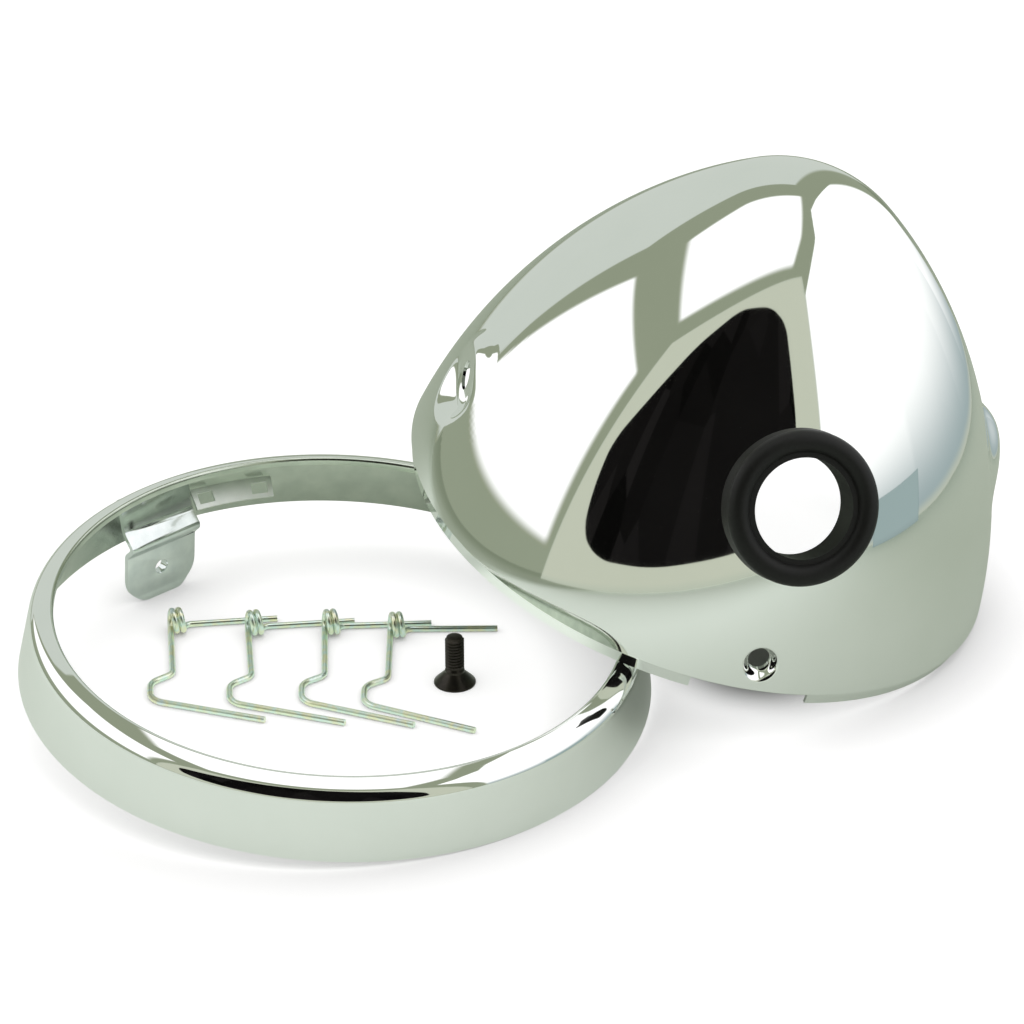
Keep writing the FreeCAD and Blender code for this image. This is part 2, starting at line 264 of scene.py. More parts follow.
# Colours of the studio
WHITE = (1, 1, 1, 1)
SOFTBOX_EDGE = (0.30, 0.335, 0.24, 1)
SOFTBOX_WHITE = (1.2, 1.2, 1.2, 1)
SIDE_EDGE = (0.5, 0.54, 0.46, 1)
SIDE_FOOT = (0.34, 0.42, 0.43, 1)
CARD_EDGE = (0.26, 0.34, 0.34, 1)
CARD_MIDDLE = (0.33, 0.42, 0.42, 1)
CARD_FOOT = (0.30, 0.38, 0.38, 1)
BACK_PALE = (0.60, 0.645, 0.59, 1)
FRONT_EDGE = (0.51, 0.555, 0.455, 1)
FRONT_CREAM = (0.56, 0.59, 0.48, 1)
ROOM_COLOURS = ((0.001, 0.001, 0.001, 1), (0.011, 0.010, 0.010, 1))
# Painted reflection of the floor in the metal: pale where lit, darker in painted shade
FLOOR_PALE = (0.80, 0.85, 0.80, 1)
FLOOR_SHADED_REFLECTION = (0.42, 0.46, 0.39, 1)
FLOOR_PAPER = (0.34, 0.33, 0.34, 1)
TENT_LOW = (0.30, 0.34, 0.25, 1)
TENT_HIGH = (0.29, 0.325, 0.235, 1)

# Floor, in metres: where its painted reflection darkens as painted shade, its painted contact shade, the
# painted dark spot of shade under the shell, and the painted glow of its reflection inside the rim
SHADE_WAY = (0.53, 0.72, 0)
SHADE_SPAN = (-0.2, 0.15)
FAR_LEFT_SPAN = (-0.65, -1.0)
CONTACT_DISTANCE = 0.033
CONTACT_SPAN = (0.5, 0.98)
CONTACT_SHADE = (0.10, 0.92)
SHADE_SPOT_UNDER_SHELL = (0.073, -0.014, 0)
SHADE_SPOT_SPAN = (0.012, 0.036)
IN_RIM_SPAN = (0.088, 0.060)
IN_RIM_GLOW = (0.2, 0.6)
TENT_SPAN = (0.02, 0.35)

# Camera
CAMERA_PLACE = Vector((-3.750, -750.685, 430.850)) * MM
CAMERA_PITCH = math.radians(90 - 27.2432)
CAMERA_SENSOR = 36
CAMERA_LENS = 96.84

# Modelling tools


def only(obj):
    """Make obj the one selected and active object."""
    bpy.ops.object.select_all(action="DESELECT")
    obj.select_set(True)
    bpy.context.view_layer.objects.active = obj


def draw_line(name, points):
    """New object with an edge line through the points, drawn by extruding one vertex. Left in edit mode."""
    bpy.ops.object.select_all(action="DESELECT")
    bpy.ops.mesh.primitive_plane_add(size=MM, location=(0, 0, 0))
    obj = bpy.context.object
    obj.name = name
    obj.data.name = name
    bpy.ops.object.mode_set(mode="EDIT")
    bpy.ops.mesh.select_mode(type="VERT")
    bpy.ops.mesh.select_all(action="SELECT")
    bpy.ops.mesh.merge(type="CENTER")
    bpy.ops.transform.translate(value=points[0])
    for before, after in zip(points, points[1:]):
        bpy.ops.mesh.extrude_vertices_move(TRANSFORM_OT_translate={"value": after - before})
    return obj


def spin_line(steps, angle):
    """Spin the drawn line round the Z axis, close its seams and leave edit mode."""
    bpy.ops.mesh.select_all(action="SELECT")
    bpy.ops.mesh.spin(steps=steps, angle=angle, center=(0, 0, 0), axis=(0, 0, 1))
    bpy.ops.mesh.select_all(action="SELECT")
    bpy.ops.mesh.remove_doubles(threshold=SEAM_GAP * MM)
    bpy.ops.mesh.normals_make_consistent(inside=False)
    bpy.ops.object.mode_set(mode="OBJECT")


def choose_faces(obj, wanted):
    """In edit mode, select the faces whose middle passes the test."""
    bpy.ops.object.mode_set(mode="EDIT")
    bpy.ops.mesh.select_mode(type="FACE")
    bpy.ops.mesh.select_all(action="DESELECT")
    bpy.ops.object.mode_set(mode="OBJECT")
    for face in obj.data.polygons:
        face.select = wanted(face.center)
    bpy.ops.object.mode_set(mode="EDIT")


def finish_modifier(obj, kind, **settings):
    """Add a modifier with its settings and apply it."""
    only(obj)
    modifier = obj.modifiers.new(kind.lower(), kind)
    for key, value in settings.items():
        setattr(modifier, key, value)
    bpy.ops.object.modifier_apply(modifier=modifier.name)


def combine(obj, tool, operation):
    """Cut a tool piece out of obj, join it to obj or trim obj to it, and remove the tool piece."""
    finish_modifier(obj, "BOOLEAN", object=tool, operation=operation, solver="EXACT")
    bpy.data.objects.remove(tool)


def drill(obj, width, depth, place, way):
    """Cut a round hole along a direction."""
    bpy.ops.object.select_all(action="DESELECT")
    turn = Vector(way).to_track_quat("Z", "Y").to_euler()
    bpy.ops.mesh.primitive_cylinder_add(
        vertices=DRILL_SIDES, radius=width / 2 * MM, depth=depth * MM, location=place, rotation=turn
    )
    combine(obj, bpy.context.object, "DIFFERENCE")


def ease_edges(obj, width, segments, angle):
    """Bevel the edges that are sharper than an angle."""
    sharp = {"limit_method": "ANGLE", "angle_limit": math.radians(angle)}
    finish_modifier(obj, "BEVEL", width=width * MM, segments=segments, **sharp)


def settle(obj, matrix, smooth_angle):
    """Move the finished mesh to its place in the layout and shade it."""
    only(obj)
    obj.matrix_world = matrix
    bpy.ops.object.transform_apply(location=True, rotation=True, scale=True)
    bpy.ops.object.shade_smooth_by_angle(angle=math.radians(smooth_angle))


def on_floor(x, y):
    """Place on the floor, from millimetres measured from the middle of the rim."""
    return Vector((x, y, 0)) * MM + Vector((RIM_PLACE.x, RIM_PLACE.y, 0))


def ease(t):
    """Soft step from 0 to 1."""
    t = min(max(t, 0.0), 1.0)
    return t * t * (3 - 2 * t)


def section(r, z):
    """Point of a turned section, from millimetres."""
    return Vector((r, 0, z)) * MM


def sweep(centre_r, centre_z, radius, start, end, count):
    """Points along an arc of a turned section."""
    points = []
    for number in range(count + 1):
        angle = start + (end - start) * number / count
        points.append(section(centre_r + radius * math.cos(angle), centre_z + radius * math.sin(angle)))
    return points


def rolled(points, rolls, count):
    """Line through the corner points with each inner corner rolled to a radius."""
    line = [points[0]]
    for before, corner, after, roll in zip(points, points[1:], points[2:], rolls):
        back = (before - corner).normalized()
        ahead = (after - corner).normalized()
        half = back.angle(ahead) / 2
        centre = corner + (back + ahead).normalized() * (roll / math.sin(half))
        first = (corner + back * (roll / math.tan(half)) - centre).normalized()
        last = (corner + ahead * (roll / math.tan(half)) - centre).normalized()
        for number in range(count + 1):
            line.append(centre + first.slerp(last, number / count) * roll)
    line.append(points[-1])
    return line


# Headlight shell

side_r = HOUSING_RADIUS - SIDE_ARC * math.cos(DRAFT)
side_z = -SIDE_ARC * math.sin(DRAFT)
nose_z = side_z + math.sqrt((SIDE_ARC - NOSE_ARC) ** 2 - side_r ** 2)
shoulder = math.atan2(nose_z - side_z, -side_r)


def press_pads(skin):
    """Press the flat round pads into both sides of the dome, with soft edges."""
    for vertex in skin.data.vertices:
        x, y, z = vertex.co / MM
        reach = math.hypot(y, z - PAD_HEIGHT)
        if x > 0:
            flat, radius, blend = RIGHT_PAD_FACE, RIGHT_PAD_RADIUS, RIGHT_PAD_BLEND
        else:
            flat, radius, blend = -LEFT_PAD_FACE, LEFT_PAD_RADIUS, LEFT_PAD_BLEND
        if reach < radius + blend:
            vertex.co.x = (flat + (x - flat) * ease((reach - radius) / blend)) * MM


def press_dimple(skin):
    """Press the countersink for the screw into the front of the mouth."""
    inner = SCREW_HOLE / 2 - DIMPLE_OVERLAP
    for vertex in skin.data.vertices:
        x, y, z = vertex.co / MM
        reach = math.hypot(x, z - SCREW_OFFSET)
        if y < 0 and reach < DIMPLE_WIDTH / 2:
            vertex.co.y += DIMPLE_DEPTH * (1 - ease((reach - inner) / (DIMPLE_WIDTH / 2 - inner))) * MM


def near_pad(point):
    reach = (RIGHT_PAD_RADIUS + RIGHT_PAD_BLEND + PAD_MARGIN) * MM
    return math.hypot(point.y, point.z - PAD_HEIGHT * MM) < reach


def near_dimple(point):
    reach = (DIMPLE_WIDTH / 2 + DIMPLE_MARGIN) * MM
    return point.y < 0 and math.hypot(point.x, point.z - SCREW_OFFSET * MM) < reach


def in_lip_gap(point):
    return point.y < 0 and point.z < LIP_TOP * MM and abs(point.x) < LIP_GAP / 2 * MM


def drill_shell(shell):
    """Drill the mounting holes, the screw hole and the cable hole."""
    drill(shell, MOUNT_HOLE, MOUNT_DRILL, section(0, PAD_HEIGHT), (1, 0, 0))
    drill(shell, SCREW_HOLE, WALL_DRILL, Vector((0, -HOUSING_RADIUS, SCREW_OFFSET)) * MM, (0, 1, 0))
    rise = math.asin((GROMMET_HEIGHT - side_z) / SIDE_ARC)
    out = Vector((0, -math.cos(rise), math.sin(rise)))
    seat = Vector((0, -(side_r + SIDE_ARC * math.cos(rise)), GROMMET_HEIGHT)) * MM
    drill(shell, GROMMET_HOLE, WALL_DRILL, seat, out)


def make_shell():
    """Dome spun from its section, with pressed pads, a dimple, a gap in its lip and its holes."""
    line = [section(LIP_RADIUS, -LIP_HEIGHT), section(LIP_RADIUS, -LIP_EASE)]
    line += [section(LIP_RADIUS + LIP_EASE, 0), section(HOUSING_RADIUS - MOUTH_EASE, 0)]
    line += sweep(side_r, side_z, SIDE_ARC, DRAFT + MOUTH_EASE_ANGLE, shoulder, SIDE_STEPS)
    line += sweep(0, nose_z, NOSE_ARC, shoulder, math.pi / 2, NOSE_STEPS)[1:]
    shell = draw_line("polished_shell", line)
    spin_line(SHELL_STEPS, FULL)
    choose_faces(shell, near_pad)
    bpy.ops.mesh.subdivide(number_cuts=PAD_CUTS)
    choose_faces(shell, near_dimple)
    bpy.ops.mesh.subdivide(number_cuts=DIMPLE_CUTS)
    choose_faces(shell, in_lip_gap)
    bpy.ops.mesh.delete(type="FACE")
    bpy.ops.object.mode_set(mode="OBJECT")
    press_pads(shell)
    press_dimple(shell)
    finish_modifier(shell, "SOLIDIFY", thickness=WALL * MM, offset=-1)
    drill_shell(shell)
    settle(shell, shell_matrix, smooth_angle=40)
    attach(shell, "root")
    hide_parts("headlight_shell")
    return shell


# Rim


def rim_line(inset):
    """Corner points of the rim's sheet, from its rear edge to the end of the turned-in lip."""
    crease_r = HOUSING_RADIUS - CREASE_INSET
    opening_r = HOUSING_RADIUS - OPENING_INSET
    wall = math.atan2(CREASE_INSET, CREASE_HEIGHT)
    bevel = math.atan2(RIM_HEIGHT - CREASE_HEIGHT, crease_r - opening_r)
    rear = HOUSING_RADIUS - inset / math.cos(wall)
    drop = inset / math.cos(bevel)
    corner_r = rear - (CREASE_HEIGHT - drop + math.tan(bevel) * crease_r) * math.tan(wall)
    corner_r /= 1 - math.tan(bevel) * math.tan(wall)
    corner_z = CREASE_HEIGHT - drop + math.tan(bevel) * (crease_r - corner_r)
    lip_r = opening_r + inset
    lip_z = RIM_HEIGHT - drop - math.tan(bevel) * inset
    lip_end = section(lip_r, RIM_HEIGHT - OPENING_LIP)
    return [section(rear, 0), section(corner_r, corner_z), section(lip_r, lip_z), lip_end]


def cut_box(obj, size, place, tilt, turn):
    """Cut a box out of the piece, tilted about its own side and turned about the upright axis."""
    bpy.ops.object.select_all(action="DESELECT")
    bpy.ops.mesh.primitive_cube_add(size=1, location=place, rotation=(0, tilt, turn), scale=size)
    combine(obj, bpy.context.object, "DIFFERENCE")


def make_tab():
    """One tab that leaves the wall inward and slopes down to the rear, with two windows for a clip."""
    rear, crease = rim_line(RIM_SHEET)[:2]
    root = rear.lerp(crease, TAB_HEIGHT * MM / crease.z)
    slope = section(-TAB_REACH, -TAB_DROP)
    way = slope.normalized()
    middle = root + Vector((way.z, 0, -way.x)) * (RIM_SHEET / 2 * MM)
    tab = draw_line("clip_tab", [middle - way * (TAB_ROOT * MM), middle + slope])
    spin_line(TAB_STEPS, math.radians(TAB_SPAN))
    finish_modifier(tab, "SOLIDIFY", thickness=RIM_SHEET * MM, offset=0)
    box = Vector((WINDOW_LENGTH, WINDOW_WIDTH, WINDOW_CUT)) * MM
    centre = middle + way * ((WINDOW_INSET + WINDOW_LENGTH / 2) * MM)
    tilt = -math.atan2(TAB_DROP, TAB_REACH)
    for side in (-1, 1):
        turn = SPIN_WAY * math.radians(TAB_SPAN / 2) + side * math.radians(WINDOW_SPACING / 2)
        cut_box(tab, box, Matrix.Rotation(turn, 3, "Z") @ centre, tilt, turn)
    return tab


def lay_tabs(satin):
    """The tabs of the rim, copies of one tab turned to their places."""
    tab = make_tab()
    tab.data.materials.append(satin)
    tabs = []
    for number in range(TAB_COUNT):
        copy = bpy.data.objects.new("clip_tab", tab.data.copy())
        bpy.context.scene.collection.objects.link(copy)
        middle = math.radians(TAB_START + number * 360 / TAB_COUNT) - SPIN_WAY * math.radians(TAB_SPAN / 2)
        copy.data.transform(Matrix.Rotation(middle, 4, "Z"))
        tabs.append(copy)
    bpy.data.objects.remove(tab)
    return tabs


def inside_rim(face):
    """True for the faces on the inner side of the rim's sheet, which get the darker plating of painted shade.
    """
    outward = face.normal.x * face.center.x + face.normal.y * face.center.y
    return outward < INNER_LEAN * face.center.xy.length or face.normal.z < REAR_LEAN


def make_rim(chrome, shaded_plating, satin):
    """Rim spun from both sides of its sheet, polished outside and darker inside as painted shade, with its
    tabs joined on.
    """
    outer = rolled(rim_line(0), (CREASE_ROLL * MM, OPENING_ROLL * MM), OUTER_ROLL_STEPS)
    inner_rolls = ((CREASE_ROLL - RIM_SHEET) * MM, (OPENING_ROLL - RIM_SHEET) * MM)
    inner = rolled(rim_line(RIM_SHEET), inner_rolls, INNER_ROLL_STEPS)
    rim = draw_line("rolled_rim", outer + inner[::-1] + outer[:1])
    spin_line(RIM_STEPS, FULL)
    rim.data.materials.append(chrome)
    rim.data.materials.append(shaded_plating)
    # The inner side gets the darker plating: painted shade
    for face in rim.data.polygons:
        face.material_index = 1 if inside_rim(face) else 0
    tabs = lay_tabs(satin)
    only(rim)
    for tab in tabs:
        tab.select_set(True)
    bpy.ops.object.join()
    settle(rim, rim_matrix, smooth_angle=30)
    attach(rim, "root")
    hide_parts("rim")
    return rim


# Screw bracket in the rim


def bend_strip():
    """Strip bent to the bracket's profile, with a rolled ridge and its sheet's thickness."""
    corners = [section(BRACKET_FRONT + out, high) for out, high in BRACKET_PROFILE]
    rolls = [roll * MM for roll in BRACKET_ROLLS]
    strip = draw_line("zinc_bracket", rolled(corners, rolls, BRACKET_ROLL_STEPS))
    bpy.ops.mesh.select_all(action="SELECT")
    bpy.ops.transform.translate(value=(0, -BRACKET_WIDTH / 2 * MM, 0))
    bpy.ops.mesh.extrude_edges_move(TRANSFORM_OT_translate={"value": (0, BRACKET_WIDTH * MM, 0)})
    bpy.ops.mesh.select_all(action="SELECT")
    bpy.ops.mesh.normals_make_consistent(inside=False)
    bpy.ops.object.mode_set(mode="OBJECT")
    if sum(face.normal.x for face in strip.data.polygons) > 0:
        strip.data.flip_normals()
    finish_modifier(strip, "SOLIDIFY", thickness=BRACKET_SHEET * MM, offset=-1)
    return strip


def corner_block():
    """Block with rounded lower corners, which the strip is trimmed to."""
    bpy.ops.object.select_all(action="DESELECT")
    bpy.ops.mesh.primitive_plane_add(size=1, location=(0, 0, 0), rotation=SIDEWAYS)
    block = bpy.context.object
    bpy.ops.object.transform_apply(rotation=True)
    for vertex in block.data.vertices:
        vertex.co.y *= (BRACKET_WIDTH + TRIM_PLAY) * MM
        vertex.co.z = (TRIM_TOP if vertex.co.z > 0 else -BRACKET_DROP) * MM
        vertex.co.x = (BRACKET_FRONT - TRIM_LEAD) * MM
    bpy.ops.object.mode_set(mode="EDIT")
    bpy.ops.mesh.select_mode(type="VERT")
    bpy.ops.mesh.select_all(action="DESELECT")
    bpy.ops.object.mode_set(mode="OBJECT")
    for vertex in block.data.vertices:
        vertex.select = vertex.co.z < 0
    bpy.ops.object.mode_set(mode="EDIT")
    bpy.ops.mesh.bevel(offset=BRACKET_CORNER * MM, segments=BRACKET_CORNER_STEPS, affect="VERTICES")
    bpy.ops.mesh.select_all(action="SELECT")
    bpy.ops.mesh.extrude_region_move(TRANSFORM_OT_translate={"value": (TRIM_DEPTH * MM, 0, 0)})
    bpy.ops.mesh.select_all(action="SELECT")
    bpy.ops.mesh.normals_make_consistent(inside=False)
    bpy.ops.object.mode_set(mode="OBJECT")
    return block


def add_collar(strip):
    """Collar behind the strip, with the hole that takes the screw's thread."""
    hole = Vector((BRACKET_FRONT + BRACKET_SHEET / 2 + COLLAR_DEPTH / 2, 0, -SCREW_OFFSET)) * MM
    depth = (BRACKET_SHEET + COLLAR_DEPTH - COLLAR_PLAY) * MM
    bpy.ops.object.select_all(action="DESELECT")
    bpy.ops.mesh.primitive_cylinder_add(
        vertices=COLLAR_SIDES, radius=COLLAR_WIDTH / 2 * MM, depth=depth, location=hole, rotation=SIDEWAYS
    )
    combine(strip, bpy.context.object, "UNION")
    drill(strip, SCREW_TAP_DRILL, BRACKET_DRILL, hole, (1, 0, 0))


def make_bracket():
    """Bent strip with a hanging tab, rounded corners, a collar and eased edges."""
    strip = bend_strip()
    combine(strip, corner_block(), "INTERSECT")
    add_collar(strip)
    ease_edges(strip, BRACKET_EASE, segments=3, angle=40)
    settle(strip, rim_matrix, smooth_angle=35)
    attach(strip, "root")
    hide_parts("rim_bracket")
    return strip


# Countersunk screw

shank_r = SCREW_THREAD / 2
core_r = shank_r - THREAD_DEPTH
head_r = SCREW_HEAD / 2
neck_z = SCREW_LAND + head_r - shank_r


def turn_screw():
    """Head, neck and core of the screw, turned in one and cut out for its key."""
    neck_end = neck_z + SCREW_NECK
    line = [section(0, 0), section(head_r, 0), section(head_r, SCREW_LAND)]
    line += [section(shank_r, neck_z), section(shank_r, neck_end)]
    line += [section(core_r, neck_end + SCREW_UNDERCUT), section(core_r, SCREW_LENGTH - SCREW_TIP_HEIGHT)]
    line += [section(core_r - SCREW_TIP_WIDTH, SCREW_LENGTH), section(0, SCREW_LENGTH)]
    screw = draw_line("black_screw", line)
    spin_line(SCREW_STEPS, FULL)
    bpy.ops.object.select_all(action="DESELECT")
    bpy.ops.mesh.primitive_cylinder_add(
        vertices=6, radius=SCREW_KEY / math.sqrt(3) * MM, depth=2 * SCREW_KEY_DEPTH * MM, location=(0, 0, 0)
    )
    combine(screw, bpy.context.object, "DIFFERENCE")
    ease_edges(screw, SCREW_EASE, segments=2, angle=30)
    return screw


def roll_thread():
    """Thread that climbs the screw's core."""
    low = neck_z + THREAD_START
    turns = int((SCREW_LENGTH - THREAD_END - low) / SCREW_PITCH)
    crest = [section(core_r - THREAD_ROOT, low)]
    crest += [section(shank_r - THREAD_EASE, low + share) for share in THREAD_CREST]
    crest.append(section(core_r - THREAD_ROOT, low + SCREW_PITCH))
    thread = draw_line("screw_thread", crest)
    bpy.ops.object.mode_set(mode="OBJECT")
    steps = {"steps": THREAD_STEPS, "render_steps": THREAD_STEPS}
    climb = SCREW_PITCH * MM
    finish_modifier(thread, "SCREW", angle=FULL, screw_offset=climb, iterations=turns, axis="Z", **steps)
    return thread


def make_screw():
    """Countersunk screw on its head, with a rolled thread up its shank."""
    screw = turn_screw()
    thread = roll_thread()
    only(screw)
    thread.select_set(True)
    bpy.ops.object.join()
    settle(screw, Matrix.Translation(on_floor(*SCREW_PLACE)), smooth_angle=30)
    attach(screw, "root")
    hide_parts("rim_screw")
    return screw


# Wire clips


def clip_path():
    """Middle line of one clip: foot, hook, jog and leg on the floor, the upright coil, then the arm."""
    lift = Vector((0, 0, CLIP_WIRE / 2))
    leg_way = Vector((math.cos(CLIP_LEG_ANGLE), math.sin(CLIP_LEG_ANGLE), 0))
    jog_start = lift + leg_way * (CLIP_LEG + CLIP_JOG_ROLL)
    jog_end = jog_start + CLIP_JOG
    hook = jog_end + CLIP_HOOK
    foot_end = hook + Vector((math.cos(CLIP_FOOT_ANGLE), math.sin(CLIP_FOOT_ANGLE), 0)) * CLIP_FOOT
    rolls = (CLIP_HOOK_ROLL, CLIP_CORNER_ROLL, CLIP_JOG_ROLL)
    path = rolled([foot_end, hook, jog_end, jog_start, lift], rolls, CLIP_ROLL_STEPS)
    climb = math.atan2(CLIP_PITCH, FULL * CLIP_COIL)
    turn = Matrix.Rotation(climb + math.pi / 2 + CLIP_LEG_ANGLE, 3, "Z")
    middle = lift + Vector((0, 0, CLIP_COIL))
    for number in range(1, CLIP_COIL_STEPS + 1):
        angle = CLIP_COIL_TURNS * FULL * number / CLIP_COIL_STEPS
        point = Vector((CLIP_PITCH * angle / FULL, CLIP_COIL * math.sin(angle), -CLIP_COIL * math.cos(angle)))
        path.append(middle + turn @ point)
    way = -leg_way
    side = Vector((way.y, -way.x, 0))
    corner = path[-1] + way * CLIP_ARM_BEND
    arm_end = corner + side * (CLIP_ARM_BEND + CLIP_ARM)
    path += rolled([path[-1], corner, arm_end], (CLIP_ARM_BEND,), CLIP_ARM_STEPS)[2:]
    return path


def bend_wire():
    """Round wire along the clip's path, as a mesh."""
    path = clip_path()
    line = bpy.data.curves.new("clip_wire", "CURVE")
    line.dimensions = "3D"
    line.bevel_depth = CLIP_WIRE / 2 * MM
    line.bevel_resolution = CLIP_WIRE_STEPS
    line.use_fill_caps = True
    spline = line.splines.new("POLY")
    spline.points.add(len(path) - 1)
    for point, place in zip(spline.points, path):
        point.co = (*(place * MM), 1)
    wire = bpy.data.objects.new("clip_wire", line)
    bpy.context.scene.collection.objects.link(wire)
    only(wire)
    bpy.ops.object.convert(target="MESH")
    return bpy.context.object


def make_clips():
    """One bent wire, laid out four times."""
    wire = bend_wire()
    clips = []
    for number, (x, y, turn) in enumerate(CLIP_PLACES, 1):
        clip = bpy.data.objects.new("wire_clip_%d" % number, wire.data.copy())
        bpy.context.scene.collection.objects.link(clip)
        place = Matrix.Translation(on_floor(x, y)) @ Matrix.Rotation(math.radians(turn), 4, "Z")
        settle(clip, place, smooth_angle=40)
        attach(clip, "root")
        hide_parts("rim_clip_%d" % number)
        clips.append(clip)
    bpy.data.objects.remove(wire)
    return clips


# Node tools


def add_node(tree, kind, sockets, **settings):
    """New node with its settings, and with a value or a link for each named socket."""
    node = tree.nodes.new(kind)
    for key, value in settings.items():
        setattr(node, key, value)
    for socket, value in sockets.items():
        if isinstance(value, bpy.types.NodeSocket):
            tree.links.new(value, node.inputs[socket])
        else:
            node.inputs[socket].default_value = value
    return node


def step(tree, value, span, shares=(0.0, 1.0), course="SMOOTHSTEP"):
    """Share that goes from one value to another, softly or evenly, while the value crosses the span."""
    sockets = {"Value": value, "From Min": span[0], "From Max": span[1]}
    sockets.update({"To Min": shares[0], "To Max": shares[1]})
    return add_node(tree, "ShaderNodeMapRange", sockets, interpolation_type=course).outputs["Result"]


def mix_colours(tree, share, first, second):
    """Colour that goes from the first to the second with the share."""
    sockets = {"Factor": share, "A": first, "B": second}
    return add_node(tree, "ShaderNodeMix", sockets, data_type="RGBA").outputs["Result"]


def reckon(tree, operation, *values):
    """Result of a sum on values."""
    return add_node(tree, "ShaderNodeMath", dict(enumerate(values)), operation=operation).outputs[0]


def measure(tree, operation, place, other):
    """Number worked out from two vectors."""
    return add_node(tree, "ShaderNodeVectorMath", {0: place, 1: other}, operation=operation).outputs["Value"]


def split_axes(tree, vector):
    """The three parts of a vector, by axis."""
    return add_node(tree, "ShaderNodeSeparateXYZ", {0: vector}).outputs


def new_group(name, inputs, outputs):
    """New shader group with a vector input and named number sockets, and what its input node gives."""
    group = bpy.data.node_groups.new(name, "ShaderNodeTree")
    group.interface.new_socket("Vector", in_out="INPUT", socket_type="NodeSocketVector")
    for socket in inputs:
        group.interface.new_socket(socket, in_out="INPUT", socket_type="NodeSocketFloat")
    for socket in outputs:
        group.interface.new_socket(socket, in_out="OUTPUT", socket_type="NodeSocketFloat")
    return group, group.nodes.new("NodeGroupInput").outputs


def cloud_group():
    """Shader group: share of a cloudy pattern over a finish."""
    group, given = new_group("finish_cloud", ("Scale", "Detail"), ("Share",))
    sockets = {"Vector": given["Vector"], "Scale": given["Scale"], "Detail": given["Detail"]}
    noise = add_node(group, "ShaderNodeTexNoise", sockets)
    add_node(group, "NodeGroupOutput", {"Share": noise.outputs["Fac"]})
    return group


def soft_edge_group():
    """Shader group: share of light on a screen, falling off softly to its edges."""
    group, given = new_group("soft_edges", ("Softness",), ("Share",))
    axes = split_axes(group, given["Vector"])
    shares = []
    for axis in ("X", "Y"):
        fold = reckon(group, "PINGPONG", axes[axis], 0.5)
        shares.append(step(group, fold, (0.0, given["Softness"])))
    add_node(group, "NodeGroupOutput", {"Share": reckon(group, "MULTIPLY", *shares)})
    return group


# Finishes


def new_finish(name):
    """Node material with its Principled shader."""
    material = bpy.data.materials.new(name)
    material.use_nodes = True
    return material, material.node_tree, material.node_tree.nodes["Principled BSDF"]


def cloud_colours(tree, shader, colours, scale, detail, span=(0.0, 1.0)):
    """Colour the shader by a cloudy pattern that runs through the colours. Gives the share of the pattern."""
    place = add_node(tree, "ShaderNodeTexCoord", {})
    sockets = {"Vector": place.outputs["Object"], "Scale": scale, "Detail": detail}
    share = add_node(tree, "ShaderNodeGroup", sockets, node_tree=finish_cloud).outputs["Share"]
    tint = add_node(tree, "ShaderNodeValToRGB", {"Fac": share})
    ramp = tint.color_ramp
    low, high = span
    ramp.elements[0].position = low
    ramp.elements[1].position = high
    ramp.elements[0].color = colours[0]
    ramp.elements[1].color = colours[-1]
    for number, colour in enumerate(colours[1:-1], 1):
        ramp.elements.new(low + (high - low) * number / (len(colours) - 1)).color = colour
    tree.links.new(tint.outputs["Color"], shader.inputs["Base Color"])
    return share


def chrome_finish():
    material, tree, shader = new_finish("polished_chrome")
    shader.inputs["Metallic"].default_value = 1.0
    haze = cloud_colours(tree, shader, CHROME_COLOURS, scale=60, detail=4)
    gloss = step(tree, haze, (0.0, 1.0), CHROME_GLOSS, "LINEAR")
    tree.links.new(gloss, shader.inputs["Roughness"])
    return material


def rubber_finish():
    material, tree, shader = new_finish("grommet_rubber")
    shader.inputs["Roughness"].default_value = 0.5
    shader.inputs["Specular IOR Level"].default_value = 0.3
    grain = cloud_colours(tree, shader, RUBBER_COLOURS, scale=900, detail=6)
    bump = add_node(tree, "ShaderNodeBump", {"Strength": 0.1, "Distance": 0.0002, "Height": grain})
    tree.links.new(bump.outputs["Normal"], shader.inputs["Normal"])
    return material


def zinc_finish(name, colours, roughness):
    material, tree, shader = new_finish(name)
    shader.inputs["Metallic"].default_value = 1.0
    shader.inputs["Roughness"].default_value = roughness
    cloud_colours(tree, shader, colours, scale=130, detail=3, span=ZINC_SPAN)
    return material


def oxide_finish():
    material, tree, shader = new_finish("black_oxide")
    shader.inputs["Metallic"].default_value = 0.7
    shader.inputs["Roughness"].default_value = 0.32
    cloud_colours(tree, shader, OXIDE_COLOURS, scale=300, detail=2)
    return material


def wear(obj, material):
    """Give a piece its one finish."""
    obj.data.materials.clear()
    obj.data.materials.append(material)


# Studio


def bare_material(name):
    """Node material with no nodes yet."""
    material = bpy.data.materials.new(name)
    material.use_nodes = True
    material.node_tree.nodes.clear()
    return material, material.node_tree


def glow_with(tree, colour):
    """Let the material glow with a colour."""
    glow = add_node(tree, "ShaderNodeEmission", {"Color": colour})
    add_node(tree, "ShaderNodeOutputMaterial", {"Surface": glow.outputs[0]})


def lit_cloth(name, edge, middle, foot, softness):
    """Glowing cloth: its edge colour, its middle colour and the colour it fades to at its foot."""
    material, tree = bare_material(name)
    sheet = add_node(tree, "ShaderNodeTexCoord", {}).outputs["UV"]
    soft = add_node(tree, "ShaderNodeGroup", {"Vector": sheet, "Softness": softness}, node_tree=soft_edges)
    rise = step(tree, split_axes(tree, sheet)["Y"], (0.0, FOOT_SHARE))
    inside = mix_colours(tree, rise, foot, middle)
    glow_with(tree, mix_colours(tree, soft.outputs["Share"], edge, inside))
    return material


